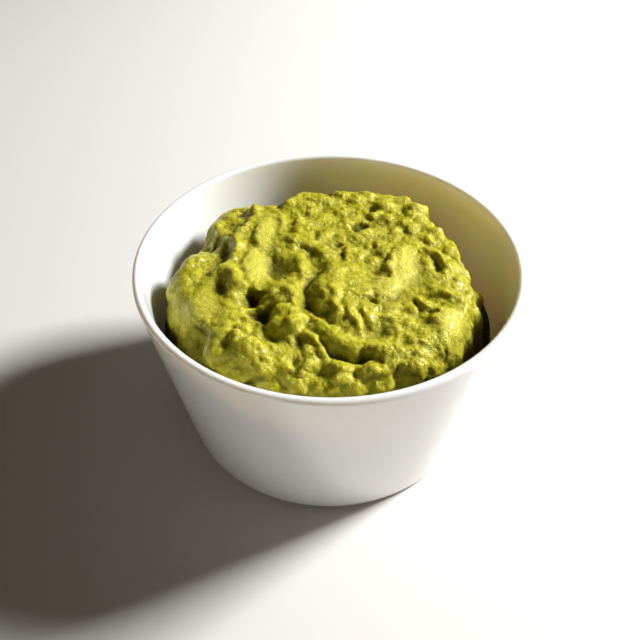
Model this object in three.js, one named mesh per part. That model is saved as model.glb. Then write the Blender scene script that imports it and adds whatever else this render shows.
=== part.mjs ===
// Guacamole heaped in its white conical bowl.
// Millimetres, +Z up. The bowl stands on z = 0 and its axis is the Z axis.
import * as THREE from 'three';

const bowl = {
  rimRadius: 60,      // outside, at the lip
  baseRadius: 47.8,   // outside, where the wall's line meets the table
  height: 64,
  wall: 2.7,
  floor: 4.2,         // top of the floor
  cornerRadius: 2.7,  // outside, between wall and foot
  filletRadius: 7,    // inside, between wall and floor
  footInner: 38.5,    // the foot is a flat ring from here out
  footRecess: 1.2,    // the base is hollowed this much inside the ring
  footBevel: 1.5,
  sides: 72,
  cornerSteps: 4,     // facets of each curve in the section
  lipSteps: 8,
  filletSteps: 6,
};

const heap = {
  gap: 0.3,           // to the bowl
  contact: 39,        // mean height at which the heap leaves the wall
  contactTilt: 2.4,   // it is this much lower on the hollow side
  tiltTurn: 15,       // degrees, direction of the hollow side
  crown: 61.2,
  squareness: 28,     // how flat the top and how steep the sides are
  shrink: 0.97,       // foot of the steep side, as a share of the wall's radius
  rings: 36,          // rings of facets over the top
  sideDepth: 3,       // the wall line under the contact begins this far below it
  filletSteps: 5,
};

// The contact line waves up and down round the bowl: height, waves in a turn, phase.
const contactWaves = [
  { height: 0.9, count: 3, phase: 1.0 },
  { height: 0.6, count: 7, phase: 2.4 },
];

// Where the side stands further off the wall, or nearer: direction and half-width in degrees, extra shrink.
const sideDents = [
  { turn: 92, width: 52, depth: 0.085 },
  { turn: 12, width: 36, depth: 0.115 },
  { turn: 163, width: 26, depth: 0.1 },
  { turn: 120, width: 16, depth: 0.05 },
  { turn: 33, width: 14, depth: 0.035 },
  { turn: 215, width: 40, depth: 0.012 },
];

// Forms of the heap. x and y run along its surface: over the top they are those of the plan, and down the
// steep side they go on outwards. turn is the direction of the half-width a, in degrees.
// Whole blocks that the spoon left higher or lower than the rest.
const terraces = [
  { x: -36, y: 22, a: 14, b: 8, turn: 55, lift: -3.4, edge: 0.25 },
  { x: -37, y: 4, a: 8.5, b: 5, turn: 85, lift: -2.2, edge: 0.3 },
  { x: -38, y: -13, a: 13, b: 10, turn: 110, lift: -1, edge: 0.4 },
  { x: 46, y: -12, a: 15, b: 6, turn: 95, lift: -1.8, edge: 0.4 },
  { x: 40, y: 24, a: 14, b: 6, turn: 125, lift: -1.6, edge: 0.5 },
  { x: 4.8, y: -14, a: 14, b: 9.6, turn: 92, lift: 2, edge: 0.3 },
  { x: -26, y: -39.6, a: 11.5, b: 6.6, turn: 153, lift: 3.2, edge: 0.2 },
  { x: -14, y: 16, a: 12, b: 7, turn: 95, lift: 1, edge: 0.5 },
  { x: -12.8, y: -26.4, a: 6.6, b: 4.6, turn: 72, lift: 2.6, edge: 0.3 },
  { x: -12.5, y: -14.5, a: 6.5, b: 5.5, turn: -30, lift: 1.6, edge: 0.3 },
  { x: 23, y: -1, a: 13, b: 8, turn: 100, lift: 0.8, edge: 0.35 },
  { x: 34, y: -27, a: 9.6, b: 6.5, turn: 100, lift: 1.4, edge: 0.3 },
  { x: -39, y: -32, a: 6, b: 4.5, turn: -50, lift: -3, edge: 0.35 },
  { x: 0, y: 43, a: 26, b: 7, turn: 0, lift: -1, edge: 0.5 },
  { x: -20, y: 38, a: 8, b: 5, turn: 20, lift: -3, edge: 0.5 },
  { x: 0, y: -44, a: 34, b: 5, turn: 0, lift: -1.2, edge: 0.5 },
];

const hollows = [
  { x: -32.6, y: -11, a: 4.6, b: 1.9, turn: -62, drop: 1.3 },
  { x: -22.8, y: -15.6, a: 4.4, b: 3.2, turn: -40, drop: 4.2 },
  { x: -19.8, y: -23, a: 4.4, b: 3, turn: -40, drop: 4.2 },
  { x: -27.4, y: -18, a: 2.8, b: 1.8, turn: -20, drop: 1.4 },
  { x: -16, y: -33.2, a: 3.8, b: 2.2, turn: -25, drop: 1.4 },
  { x: -9.8, y: -34.6, a: 3.8, b: 2, turn: -75, drop: 1.2 },
  { x: -15, y: -2.4, a: 6, b: 4.4, turn: -15, drop: 0.7 },
  { x: 14.6, y: 27.6, a: 3.4, b: 1.9, turn: 95, drop: 1.7 },
  { x: 2.4, y: 8.8, a: 2.4, b: 1.6, turn: 10, drop: 1.8 },
  { x: 32.8, y: -1.6, a: 4.6, b: 1.8, turn: 95, drop: 0.9 },
  { x: 14.4, y: -29.4, a: 4.4, b: 3.4, turn: 90, drop: 1.3 },
  { x: -10, y: -40.8, a: 2.4, b: 1.8, turn: 0, drop: 1.6 },
  { x: 13.6, y: -42.4, a: 2, b: 1.2, turn: 0, drop: 1 },
  { x: 19, y: -45, a: 3.4, b: 1.1, turn: 80, drop: 2.2 },
  { x: -3, y: -45.6, a: 3.4, b: 2.6, turn: 80, drop: 1.6 },
  { x: 6.4, y: -46, a: 2.8, b: 1.6, turn: 80, drop: 1.4 },
  { x: 8.4, y: -41, a: 2.2, b: 1.6, turn: 0, drop: 1.2 },
  { x: -37.6, y: 11.5, a: 3.6, b: 2.4, turn: 60, drop: 1 },
  { x: -40.6, y: 6.4, a: 1.6, b: 1.2, turn: 0, drop: 0.6 },
  { x: 13.1, y: -18.6, a: 0.8, b: 0.75, turn: 0, drop: 3.4 },
  { x: 28.2, y: -24.4, a: 2.4, b: 1.2, turn: 10, drop: 0.9 },
  { x: 34.8, y: 30, a: 2.6, b: 1.1, turn: 100, drop: 2.2 },
  { x: 13.6, y: -4.8, a: 1.8, b: 1.1, turn: -30, drop: 0.9 },
  { x: -17.4, y: 31, a: 2, b: 1.6, turn: 0, drop: 1.6 },
  { x: -28, y: -36, a: 2, b: 1.2, turn: -35, drop: 1.2 },
];

const hollowFloor = 0.15;   // a hollow is deepest inside this share of its outline
const hollowSlope = 1.2;

// Furrows and ridges follow smooth paths. A ridge with a positive lean is steep on the left of its path.
const furrows = [
  { path: [[-20.6, 30.5], [-24.4, 26.4], [-28.4, 21], [-30.8, 14.6], [-31.6, 8], [-32.4, 1], [-32.8, -2.6]],
    width: 2.2, drop: 1.5 },
  { path: [[-1.6, -6], [-5, -8.4], [-7.2, -12], [-7.2, -16], [-5.2, -20.6], [-1.8, -25.5], [1.6, -29.4]],
    width: 2.6, drop: 2.4 },
  { path: [[-3.6, -33], [-0.6, -36.6], [3.4, -39], [8, -40], [12.6, -39.8]], width: 1.8, drop: 2.8 },
  { path: [[-8.6, -19.5], [-6.6, -24], [-4, -28.6]], width: 1.2, drop: 1 },
  { path: [[3.6, -15.5], [3.4, -20], [4, -25]], width: 1.3, drop: 0.7 },
  { path: [[6.6, -22], [8.6, -26.5], [11, -30.5]], width: 1.2, drop: 0.8 },
  { path: [[-12.4, 26.4], [-13.2, 20], [-13.8, 13]], width: 3, drop: 1.5 },
  { path: [[-17.2, 26], [-17, 18], [-16.4, 9]], width: 0.9, drop: 0.6 },
  { path: [[-26.2, -3], [-25.8, -6.4], [-25, -10.4]], width: 1.3, drop: 1.8 },
  { path: [[7, 18.2], [9.4, 19], [12.4, 18.2]], width: 2.6, drop: 4.2 },
  { path: [[2, 18.4], [5, 18.2], [7.6, 18.6]], width: 1.2, drop: 0.9 },
  { path: [[4.6, 6], [4.8, 2]], width: 1.2, drop: 1 },
  { path: [[23, 15], [22.8, 13], [22.2, 10]], width: 1, drop: 0.6 },
  { path: [[22.4, 10], [19, 4], [16.8, -1], [15.6, -5]], width: 1.2, drop: 0.6 },
  { path: [[-28.4, -33], [-27.6, -37.4], [-27.6, -42]], width: 1.6, drop: 1.6 },
  { path: [[-22.4, -27], [-22.2, -31], [-22.6, -34]], width: 0.9, drop: 0.7 },
];

const ridges = [
  { path: [[-36.6, -6.4], [-34.4, -5], [-31.4, -4.6], [-29, -6], [-27.8, -9.4], [-28.2, -13.4]],
    width: 3, rise: 2.3, lean: -0.2 },
  { path: [[-22.6, -7], [-21.4, -11], [-19.4, -11.4]], width: 2.6, rise: 1, lean: 0 },
  { path: [[-20.6, -16.8], [-18.6, -15.4], [-15.6, -14.8]], width: 1.4, rise: 0.9, lean: 0 },
  { path: [[-26.4, -21.4], [-23.6, -20], [-21.4, -19.4], [-19.4, -18.4]],
    width: 1.2, rise: 0.9, lean: 0.3 },
  { path: [[-13.6, -12.8], [-12, -15.4], [-10, -19], [-8, -23.6], [-6.4, -27.4]],
    width: 2, rise: 1.3, lean: -0.2 },
  { path: [[-13.4, -20.6], [-12.4, -24], [-11, -28]], width: 2.4, rise: 0.6, lean: 0 },
  { path: [[-5.4, -21], [-4, -25], [-1.6, -29.6], [1.8, -34], [6, -36.6], [10.4, -36.8], [15, -37],
    [19.6, -35.4]],
    width: 3, rise: 1.8, lean: 0 },
  { path: [[-8.4, -29], [-5.4, -33], [-2.4, -37], [-1, -39.6]], width: 2, rise: 1.5, lean: 0 },
  { path: [[1, -14], [1, -20], [1.4, -27]], width: 1.6, rise: 0.8, lean: 0 },
  { path: [[5, -21.5], [6.8, -27], [9.6, -31.4]], width: 1.5, rise: 0.9, lean: -0.3 },
  { path: [[8.8, -22], [11.4, -28.6]], width: 1.3, rise: 0.8, lean: -0.3 },
  { path: [[6, -14.6], [7.6, -16.2], [10.4, -16.9], [12.4, -16]], width: 1.4, rise: 0.9, lean: -0.4 },
  { path: [[-13, 8], [-10.4, 9.4], [-6, 8.6], [-2.6, 5.4], [-0.6, 1.4], [0.4, -3.6]],
    width: 2.6, rise: 1.6, lean: -0.3 },
  { path: [[-9.4, 3], [-9, -1], [-9.2, -5]], width: 1.6, rise: 0.3, lean: 0 },
  { path: [[6, 7], [6.2, 4.4], [5.8, 2]], width: 1.5, rise: 1, lean: -0.5 },
  { path: [[30, 4.6], [33, 4.4], [35.4, 1.6], [36, -3], [34.4, -8]], width: 2.2, rise: 1.5, lean: -0.3 },
  { path: [[29.4, -14.8], [32.6, -15], [36.6, -16], [39, -18.6], [39.4, -22]],
    width: 2.1, rise: 1.3, lean: -0.3 },
  { path: [[25.6, -17], [27.6, -19.4], [28.8, -22]], width: 1.3, rise: 1.2, lean: -0.4 },
  { path: [[-18.9, 26], [-18.6, 19], [-17.6, 12]], width: 1.3, rise: 0.6, lean: 0 },
  { path: [[-16.4, 25], [-16.6, 18], [-16, 12]], width: 1.2, rise: 0.5, lean: 0.2 },
  { path: [[-22.6, 27], [-26.6, 22], [-29.4, 16], [-29.6, 9], [-30, 3], [-30.4, -1.6]],
    width: 2, rise: 1.5, lean: -0.4 },
  { path: [[-42.6, -15], [-41.8, -20], [-40, -23.6], [-36.4, -26.2], [-33, -27.6]],
    width: 1.6, rise: 0.9, lean: -0.4 },
  { path: [[-41, -1.5], [-45, -6], [-48, -11], [-48.6, -16]], width: 3, rise: 1, lean: 0.3 },
  { path: [[-33.8, -35], [-30.4, -36.6], [-27, -38.6]], width: 1.8, rise: 1.2, lean: 0 },
  { path: [[-20.8, -35.2], [-16.6, -36], [-13.4, -38.6]], width: 2, rise: 1.2, lean: 0.3 },
  { path: [[6.5, 12.6], [10, 13.6], [14, 14.8], [18, 16.6]], width: 1.9, rise: 0.8, lean: 0.2 },
  { path: [[-8.6, -37.8], [-5.6, -38.6], [-3.6, -40.4]], width: 1.2, rise: 1, lean: 0 },
  { path: [[40.6, 13], [40, 8], [41, 1], [43.6, -4]], width: 1.4, rise: 0.8, lean: 0 },
];
const steepSide = 0.5;      // how much a full lean narrows the steep side and widens the other
const endShare = 0.2;       // furrows and ridges fade in over this share of their length
const ridgeSpread = 1.2;    // how far a ridge's foot runs out, as a share of its width
const endRise = 0.2;        // share of a ridge's rise that its ends keep

// Lumps: middle, radius and rise.
const lumps = [
  [-31, -31.6, 3, 2.6], [-24.8, -29.6, 2.6, 1.6], [-10.8, -29.4, 3, 2], [-15, -22.8, 2.6, 1.8],
  [-12.2, -25.2, 3, 1.8], [-47.2, -3.6, 2.4, 1.8], [-40, 3, 2.4, 2], [-43.4, 1.4, 2.4, 1.4],
  [-38, 23.6, 2.8, 2.4], [-35.8, 19.4, 2.6, 1.4], [-33.6, 16.2, 2.8, 1.6], [-38.4, 17, 2.6, 1.4],
  [-30, 25.6, 3.6, 1.8], [-25.4, 29, 3.4, 2.2], [-33.4, 28.6, 3.2, 2], [-13.6, 31.4, 3.4, 1.6],
  [-3.4, 34.6, 4, 1.4], [3.6, 36.6, 3.8, 2], [13, 37, 3, 1.6], [19, 30, 3.4, 1.8],
  [25.4, 35, 3, 1.4], [30.6, 29, 4.4, 2.8], [15.4, 24.8, 2.6, 1.4], [24, 19, 2.8, 1.4],
  [26.6, 17, 2.8, 1.4], [13, 0.6, 2.2, 1.6], [43, -4, 2.8, 1.6], [25, -44.4, 4, 2.4],
  [18.6, -43.6, 2.6, 1.4], [10.6, -45.6, 3.2, 2], [2.4, -44, 2.8, 2], [3, -48, 2.6, 1.6],
  [-7, -42, 3, 1.8], [-12.6, -43, 2.6, 1.4], [-21.6, -39.6, 3, 1.4], [-34.4, -36, 3.6, 1.4],
  [-22, -39, 4, 1.4], [-50, -9, 4, 1.4], [-52, -20, 4.4, 1.6], [-45, -37, 4.6, 1.8],
  [-38, -40, 4, 1.4], [-33, -45, 4.4, 1.6], [-26, -48, 4, 1.6], [-10, -50, 3.6, 1.6],
  [7, -50, 3.6, 1.6], [15, -49, 3.8, 1.4], [24, -47, 3.6, 1.4], [39, -37, 4, 1.4],
  [50, -18, 4, 1.4], [52, -6, 4.2, 1.4], [-50, 8, 4.2, 1.6], [-48, 18, 4, 1.4],
  [-53, -30, 4.2, 1.4],
];

const lumpSpread = 1.15;    // the same for a lump

// Smears: places that the back of the spoon drew to a plane.
const smears = [
  { x: 23, y: -3, a: 11.5, b: 6.6, turn: 84, lift: 0.9, tiltX: -0.28, tiltY: 0.13 },
  { x: -37.2, y: -20.4, a: 7.4, b: 5.6, turn: -25, lift: -0.4, tiltX: -0.12, tiltY: 0.02 },
  { x: -22.4, y: -1.6, a: 11, b: 4.6, turn: 97, lift: 0.4, tiltX: -0.34, tiltY: 0.02 },
  { x: 34.2, y: -29.2, a: 8.6, b: 4.6, turn: 100, lift: 1.4, tiltX: -0.14, tiltY: 0.1 },
  { x: 16.4, y: -12.7, a: 5, b: 5, turn: 0, lift: 2, tiltX: -0.04, tiltY: 0.03 },
];
const smearCore = 0.55;     // a smear is whole inside this share of its outline
const smearBlend = 0.5;
const smearHold = 0.9;      // how nearly a smear reaches its plane

// Leans: broad slopes that the spoon's strokes left.
const leans = [
  { x: -13.4, y: -2.6, a: 7.6, b: 7.6, turn: -20, tiltX: 0.46, tiltY: 0.14 },
  { x: -28, y: -20.5, a: 6.4, b: 5.6, turn: 0, tiltX: -0.26, tiltY: -0.06 },
  { x: 6, y: -13, a: 13, b: 9, turn: 92, tiltX: -0.12, tiltY: 0 },
  { x: 24, y: -4, a: 12, b: 7, turn: 100, tiltX: -0.22, tiltY: 0.04 },
  { x: -24, y: -41, a: 10, b: 7, turn: 155, tiltX: -0.12, tiltY: 0.06 },
  { x: 35, y: -27, a: 11, b: 6, turn: 100, tiltX: -0.06, tiltY: 0 },
  { x: -44, y: -6, a: 12, b: 6, turn: 95, tiltX: 0.05, tiltY: 0 },
  { x: 32, y: 24, a: 9, b: 8, turn: 0, tiltX: -0.12, tiltY: 0 },
  { x: 32.8, y: -18.6, a: 5, b: 4.4, turn: -20, tiltX: 0.22, tiltY: 0.22 },
  { x: 14.6, y: -29.6, a: 6, b: 5.4, turn: 90, tiltX: 0.26, tiltY: 0.2 },
  { x: -34, y: 25, a: 8, b: 6, turn: 50, tiltX: -0.1, tiltY: 0 },
  { x: -36, y: 13, a: 6, b: 5, turn: 60, tiltX: 0.2, tiltY: 0.06 },
];
const leanCore = 0.5;       // a lean is whole inside this share of its outline
const leanBlend = 0.7;

// Calm places, where this share of the small lumps is missing.
const calm = [
  { x: 6.5, y: -15, a: 11, b: 9, turn: 95, share: 0.75 },
  { x: -12, y: 0, a: 9, b: 7, turn: -30, share: 0.7 },
  { x: -29, y: -6, a: 6, b: 5, turn: -60, share: 0.6 },
  { x: -17, y: 15, a: 5, b: 12, turn: 0, share: 0.7 },
  { x: -36, y: -17, a: 10, b: 7, turn: -50, share: 0.6 },
  { x: 4, y: -33, a: 14, b: 4, turn: -15, share: 0.3 },
  { x: 35, y: -27, a: 11, b: 6, turn: 100, share: 0.5 },
  { x: 36, y: -13, a: 7, b: 5, turn: 0, share: 0.5 },
  { x: -14, y: -15, a: 7, b: 5, turn: -30, share: 0.5 },
];

// Slow rise and fall of the whole top.
const swell = [
  { size: 14, rise: 1.2, seed: 3 },
  { size: 7, rise: 0.9, seed: 10 },
];
// Bends every form's outline.
const wander = [
  { size: 6.0, reach: 1.1, seed: 11 },
  { size: 3.0, reach: 1.6, seed: 12 },
  { size: 1.4, reach: 0.6, seed: 13 },
];
// Soft lumps all over, one in each cell of a jittered grid. Radii are shares of a cell.
const mash = {
  size: 4.6, rise: 0.6, seed: 21, jitter: 0.8,
  radius: 0.56, radiusSpread: 0.5, lowest: 0.35,
  middle: 0.3,        // height of a lump that leaves the surface where it is
};
// Steepness of their sides: below 1 they bulge, above 1 their foot runs out softly.
const capPower = { mash: 0.9, lump: 1.2, ridge: 1.4 };
const fadeWidth = 2.2;      // relief dies out over this distance before the wall
const fadeFloor = 0.25;
const softness = 0.8;       // relief is the mean of the forms over a spot of this radius
const spotPoints = 6;
const slopeReach = 0.05;    // half the step over which the dome's slope is measured
const curveSamples = 2000;  // steps in which the dome's curve is measured

const radians = THREE.MathUtils.degToRad;
const { clamp, lerp } = THREE.MathUtils;
const fract = (v) => v - Math.floor(v);
const cap = (q2, power) => Math.pow(clamp(1 - q2, 0, 1), power);
const ease = (v) => {
  const t = clamp(v, 0, 1);
  return t * t * (3 - 2 * t);
};

// A repeatable pseudo-random number from 0 to 1 for a grid place.
const mix = { across: 127.1, along: 311.7, seed: 74.7, spread: 43758.5453 };
const hash = (i, j, seed) => fract(Math.sin(i * mix.across + j * mix.along + seed * mix.seed) * mix.spread);

function noise(x, y, seed) {
  const i = Math.floor(x);
  const j = Math.floor(y);
  const s = ease(x - i);
  const low = lerp(hash(i, j, seed), hash(i + 1, j, seed), s);
  const high = lerp(hash(i, j + 1, seed), hash(i + 1, j + 1, seed), s);
  return lerp(low, high, ease(y - j)) - 0.5;
}

// One soft lump in each cell of a jittered grid: high in its middle, 0 in the creases.
function lumpField(x, y, { seed, jitter, radius, radiusSpread, lowest }) {
  let best = 0;
  for (let i = Math.floor(x) - 1; i <= Math.floor(x) + 1; i++) {
    for (let j = Math.floor(y) - 1; j <= Math.floor(y) + 1; j++) {
      const dx = x - i - (1 - jitter) / 2 - jitter * hash(i, j, seed);
      const dy = y - j - (1 - jitter) / 2 - jitter * hash(i, j, seed + 1);
      const size = radius + radiusSpread * hash(i, j, seed + 2);
      const height = lerp(lowest, 1, hash(i, j, seed + 3));
      best = Math.max(best, height * cap((dx * dx + dy * dy) / size ** 2, capPower.mash));
    }
  }
  return best;
}

// How far (x, y) lies from a form's middle, 1 at its outline.
function ovalDistance(x, y, form) {
  const c = Math.cos(radians(form.turn));
  const s = Math.sin(radians(form.turn));
  const dx = x - form.x;
  const dy = y - form.y;
  return Math.hypot((dx * c + dy * s) / form.a, (dy * c - dx * s) / form.b);
}

// A path as a smooth line, worked out once.
const stepsPerLeg = 6;
for (const form of [...furrows, ...ridges]) {
  const curve = new THREE.CatmullRomCurve3(form.path.map(([x, y]) => new THREE.Vector3(x, y, 0)));
  form.line = curve.getPoints(stepsPerLeg * (form.path.length - 1));
}

function pathDistance(x, y, line) {
  const best = { distance: Infinity, side: 0, share: 0 };
  for (let k = 0; k < line.length - 1; k++) {
    const dx = line[k + 1].x - line[k].x;
    const dy = line[k + 1].y - line[k].y;
    const along = clamp(((x - line[k].x) * dx + (y - line[k].y) * dy) / (dx * dx + dy * dy), 0, 1);
    const ox = x - line[k].x - along * dx;
    const oy = y - line[k].y - along * dy;
    const distance = Math.hypot(ox, oy);
    if (distance < best.distance) {
      best.distance = distance;
      best.side = Math.sign(dx * oy - dy * ox);
      best.share = (k + along) / (line.length - 1);
    }
  }
  best.ends = Math.sqrt(clamp(Math.min(best.share, 1 - best.share) / endShare, 0, 1));
  return best;
}

function ridgeHeight(x, y, ridge) {
  const near = pathDistance(x, y, ridge.line);
  const steep = near.side * ridge.lean > 0 ? -steepSide : steepSide;
  const width = ridgeSpread * ridge.width * (1 + steep * Math.abs(ridge.lean));
  return ridge.rise * lerp(endRise, 1, near.ends) * cap((near.distance / width) ** 2, capPower.ridge);
}

function lumpHeight(x, y, [lumpX, lumpY, radius, rise]) {
  return rise * cap(((x - lumpX) ** 2 + (y - lumpY) ** 2) / (lumpSpread * radius) ** 2, capPower.lump);
}

// 1 in the core of a form, 0 outside its blend.
function share(x, y, form, core, blend) {
  return 1 - ease((ovalDistance(x, y, form) - core) / blend);
}

// Height over the smooth dome at a place on its surface.
function relief(x, y) {
  let wx = x;
  let wy = y;
  for (const { size, reach, seed } of wander) {
    wx += reach * noise(x / size, y / size, seed);
    wy += reach * noise(x / size, y / size, seed + 2);
  }
  let out = 0;
  for (const { size, rise, seed } of swell) out += rise * noise(x / size, y / size, seed);
  for (const form of terraces) out += form.lift * share(wx, wy, form, 1 - form.edge, 2 * form.edge);
  for (const form of leans) {
    const slope = form.tiltX * (wx - form.x) + form.tiltY * (wy - form.y);
    out += slope * share(wx, wy, form, leanCore, leanBlend);
  }
  for (const form of hollows) out -= form.drop * share(wx, wy, form, hollowFloor, hollowSlope);
  for (const form of furrows) {
    const near = pathDistance(wx, wy, form.line);
    out -= form.drop * near.ends * (1 - ease(near.distance / form.width));
  }
  let raised = 0;
  for (const lump of lumps) raised = Math.max(raised, lumpHeight(wx, wy, lump));
  for (const ridge of ridges) raised = Math.max(raised, ridgeHeight(wx, wy, ridge));
  let stillness = 0;
  for (const form of calm) {
    stillness = Math.max(stillness, form.share * share(wx, wy, form, smearCore, smearBlend));
  }
  const bumps = lumpField(wx / mash.size, wy / mash.size, mash) - mash.middle;
  out += raised + mash.rise * bumps * (1 - stillness);
  for (const form of smears) {
    const plane = form.lift + form.tiltX * (x - form.x) + form.tiltY * (y - form.y);
    out = lerp(out, plane, smearHold * share(wx, wy, form, smearCore, smearBlend));
  }
  return out;
}

// The mean of the relief over a small spot, so that no form is sharper than the facets can show.
function softRelief(x, y) {
  let sum = relief(x, y);
  for (let k = 0; k < spotPoints; k++) {
    const turn = (2 * Math.PI * k) / spotPoints;
    sum += relief(x + softness * Math.cos(turn), y + softness * Math.sin(turn));
  }
  return sum / (spotPoints + 1);
}

// The bowl's wall is two parallel lines that end in a round lip.
const lean = Math.atan((bowl.rimRadius - bowl.baseRadius) / bowl.height);
const lip = bowl.wall / 2;
const lipCentre = new THREE.Vector2(bowl.rimRadius - lip, bowl.height - lip);
const wallMiddle = (z) => lipCentre.x - (lipCentre.y - z) * Math.tan(lean);
const outerRadius = (z) => wallMiddle(z) + lip / Math.cos(lean);
const innerRadius = (z) => wallMiddle(z) - lip / Math.cos(lean);

function arc(centre, radius, from, to, steps) {
  return Array.from({ length: steps + 1 }, (_, k) => {
    const turn = lerp(from, to, k / steps);
    return new THREE.Vector2(centre.x + radius * Math.cos(turn), centre.y + radius * Math.sin(turn));
  });
}

// Inside curve between floor and wall, moved in by a gap.
function fillet(gap, steps) {
  const z = bowl.floor + bowl.filletRadius;
  const centre = new THREE.Vector2(innerRadius(z) - bowl.filletRadius / Math.cos(lean), z);
  return arc(centre, bowl.filletRadius - gap, -lean, -Math.PI / 2, steps);
}

function makeBowl() {
  const { cornerRadius: corner, footInner, footRecess, footBevel } = bowl;
  const cornerCentre = new THREE.Vector2(outerRadius(corner) - corner / Math.cos(lean), corner);
  const profile = [
    new THREE.Vector2(0, footRecess),
    new THREE.Vector2(footInner - footBevel, footRecess),
    new THREE.Vector2(footInner, 0),
    ...arc(cornerCentre, corner, -Math.PI / 2, -lean, bowl.cornerSteps),
    ...arc(lipCentre, lip, -lean, Math.PI - lean, bowl.lipSteps),
    ...fillet(0, bowl.filletSteps),
    new THREE.Vector2(0, bowl.floor),
  ];
  const material = new THREE.MeshStandardMaterial({ color: 0xf2efe9, roughness: 0.2, metalness: 0 });
  const mesh = new THREE.Mesh(new THREE.LatheGeometry(profile, bowl.sides), material);
  mesh.name = 'bowl';
  mesh.rotation.x = Math.PI / 2;
  return mesh;
}

function contactHeight(turn) {
  let z = heap.contact - heap.contactTilt * Math.cos(turn - radians(heap.tiltTurn));
  for (const wave of contactWaves) z += wave.height * Math.sin(wave.count * turn + wave.phase);
  return z;
}

function sideShrink(turn) {
  let shrink = heap.shrink;
  for (const dent of sideDents) {
    const off = Math.acos(clamp(Math.cos(turn - radians(dent.turn)), -1, 1));
    shrink -= dent.depth * ease(1 - off / radians(dent.width));
  }
  return shrink;
}

function domeHeight(r, low, shrink) {
  const reach = shrink * innerRadius(low);
  return low + (heap.crown - low) * Math.max(0, 1 - (r / reach) ** heap.squareness);
}

// Radii that cut the mean dome into rings of equal width along its slope.
function ringRadii(rings) {
  const wall = innerRadius(heap.contact);
  const curve = Array.from({ length: curveSamples + 1 }, (_, k) => {
    const r = (wall * k) / curveSamples;
    return new THREE.Vector2(r, domeHeight(r, heap.contact, heap.shrink));
  });
  const lengths = [0];
  for (let k = 1; k <= curveSamples; k++) lengths.push(lengths[k - 1] + curve[k].distanceTo(curve[k - 1]));
  const radii = [];
  for (let ring = 0, k = 0; ring <= rings; ring++) {
    const target = (lengths[curveSamples] * ring) / rings;
    while (k < curveSamples && lengths[k] < target) k++;
    radii.push({ share: curve[k].x / wall, unrolled: lengths[k] });
  }
  radii[rings].share = 1;
  return radii;
}

function surfacePoint(ring, turn) {
  const low = contactHeight(turn);
  const wall = innerRadius(low);
  const shrink = sideShrink(turn);
  const narrow = shrink / heap.shrink;
  const ledge = ((1 - ring.share) * (1 - shrink)) / (1 - heap.shrink);
  const r = wall * (ring.share < heap.shrink ? ring.share * narrow : 1 - ledge);
  const along = ring.unrolled * narrow;
  const c = Math.cos(turn);
  const s = Math.sin(turn);
  const fall = domeHeight(r - slopeReach, low, shrink) - domeHeight(r + slopeReach, low, shrink);
  const slope = Math.atan2(fall, 2 * slopeReach);
  const fade = ease((wall - r) / fadeWidth);
  const rise = softRelief(along * c, along * s) * lerp(fadeFloor, 1, fade);
  const z = domeHeight(r, low, shrink) + rise * Math.cos(slope * fade);
  const radius = Math.min(r + rise * Math.sin(slope) * fade, innerRadius(z) - heap.gap);
  return new THREE.Vector3(radius * c, radius * s, z);
}

function makeHeap() {
  const points = [];
  const triangles = [];
  const ringStart = [];
  const addRing = (count, place) => {
    ringStart.push(points.length);
    for (let k = 0; k < count; k++) points.push(place((2 * Math.PI * k) / count));
    return ringStart[ringStart.length - 1];
  };

  // Top: ring k has 6k points, so the facets stay alike in size from the middle to the wall.
  const radii = ringRadii(heap.rings);
  addRing(1, () => surfacePoint(radii[0], 0));
  for (let k = 1; k <= heap.rings; k++) addRing(6 * k, (turn) => surfacePoint(radii[k], turn));
  for (let k = 1; k <= heap.rings; k++) {
    const inner = (j) => ringStart[k - 1] + (k > 1 ? j % (6 * (k - 1)) : 0);
    const outer = (j) => ringStart[k] + (j % (6 * k));
    for (let sector = 0; sector < 6; sector++) {
      for (let j = 0; j < k; j++) {
        const o = sector * k + j;
        const i = sector * (k - 1) + j;
        triangles.push([inner(i), outer(o), outer(o + 1)]);
        if (j < k - 1) triangles.push([inner(i), outer(o + 1), inner(i + 1)]);
      }
    }
  }

  // Under the contact line the heap fills the bowl down to its floor.
  const { sides } = bowl;
  const each = (6 * heap.rings) / sides;
  const wallPoint = (r, z) => (turn) => new THREE.Vector3(r * Math.cos(turn), r * Math.sin(turn), z);
  const wallTop = addRing(sides, (turn) => {
    const z = contactHeight(turn) - heap.sideDepth;
    return wallPoint(innerRadius(z) - heap.gap, z)(turn);
  });
  const topEdge = ringStart[heap.rings];
  for (let k = 0; k < sides; k++) {
    const next = wallTop + ((k + 1) % sides);
    for (let j = 0; j < each; j++) {
      const o = topEdge + k * each + j;
      const after = topEdge + ((k * each + j + 1) % (6 * heap.rings));
      triangles.push([o, wallTop + k, after]);
      if (j === each - 1) triangles.push([after, wallTop + k, next]);
    }
  }
  let above = wallTop;
  const bottomCurve = fillet(heap.gap, heap.filletSteps);
  for (const { x, y } of bottomCurve) {
    const below = addRing(sides, wallPoint(x, y));
    for (let k = 0; k < sides; k++) {
      const n = (k + 1) % sides;
      triangles.push([above + k, below + k, above + n], [above + n, below + k, below + n]);
    }
    above = below;
  }
  const middle = addRing(1, wallPoint(0, bowl.floor + heap.gap));
  for (let k = 0; k < sides; k++) triangles.push([above + k, middle, above + ((k + 1) % sides)]);

  const geometry = new THREE.BufferGeometry().setFromPoints(points);
  geometry.setIndex(triangles.flat());
  geometry.computeVertexNormals();
  const material = new THREE.MeshStandardMaterial({ color: 0xa7a02b, roughness: 0.4, metalness: 0 });
  const mesh = new THREE.Mesh(geometry, material);
  mesh.name = 'guacamole';
  return mesh;
}

const group = new THREE.Group();
group.add(makeBowl(), makeHeap());

export default group;
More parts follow.
